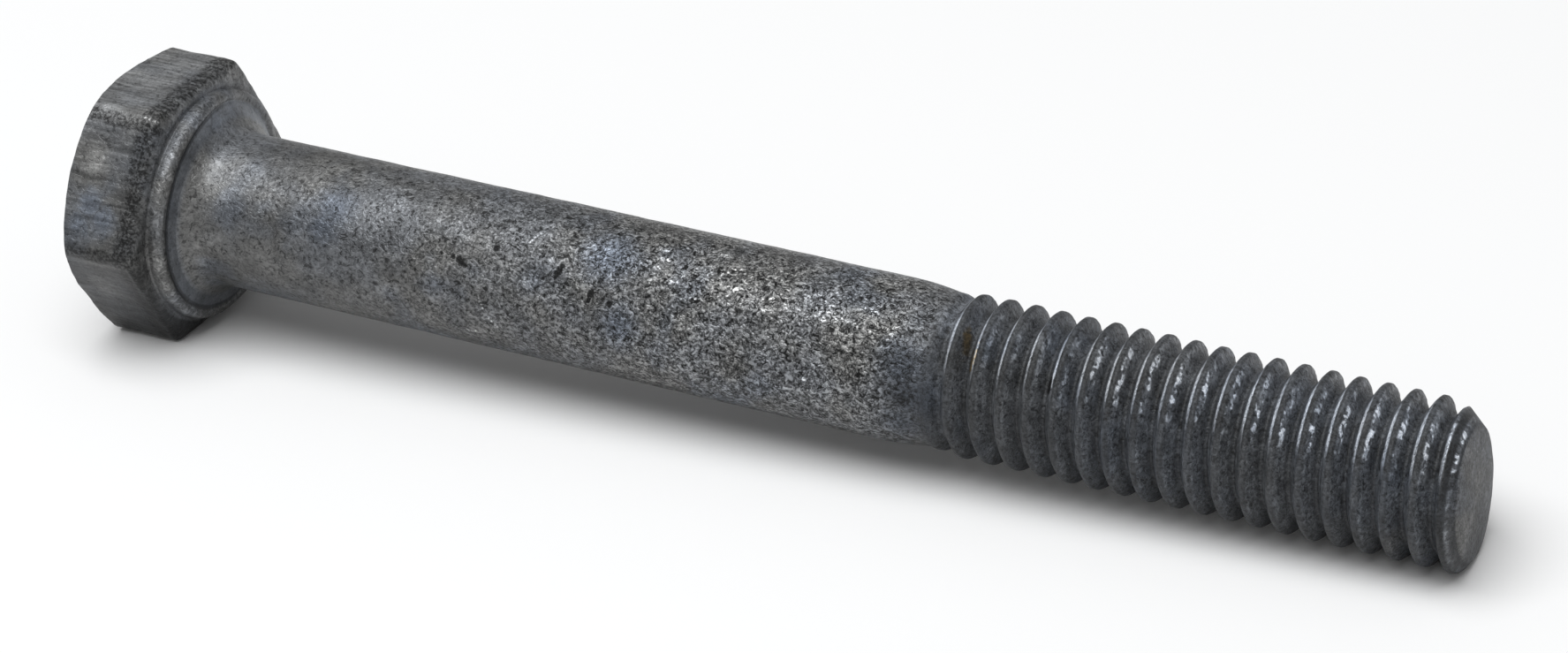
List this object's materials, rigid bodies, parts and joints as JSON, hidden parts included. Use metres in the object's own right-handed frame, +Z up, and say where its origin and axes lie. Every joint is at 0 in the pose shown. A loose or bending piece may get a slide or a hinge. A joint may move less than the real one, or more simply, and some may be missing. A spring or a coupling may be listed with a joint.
{
  "type": "hex head bolt",
  "caption": "Galvanised steel hex head bolt with a washer face, a plain shank and a coarse rolled thread, for clamping parts with a nut.",
  "frame": {"origin": "middle of the bolt's box, on the surface it lies on", "axes": "+X from the head to the point as the bolt lies, +Z up, +Y away from the viewer"},
  "size_m": [0.0546, 0.0112, 0.0098],
  "materials": {
    "zinc_coat": "dull hot-dip galvanised, mottled grey, with worn bright edges"
  },
  "bodies": {
    "root": {"hex_bolt": "zinc_coat"}
  },
  "joints": []
}
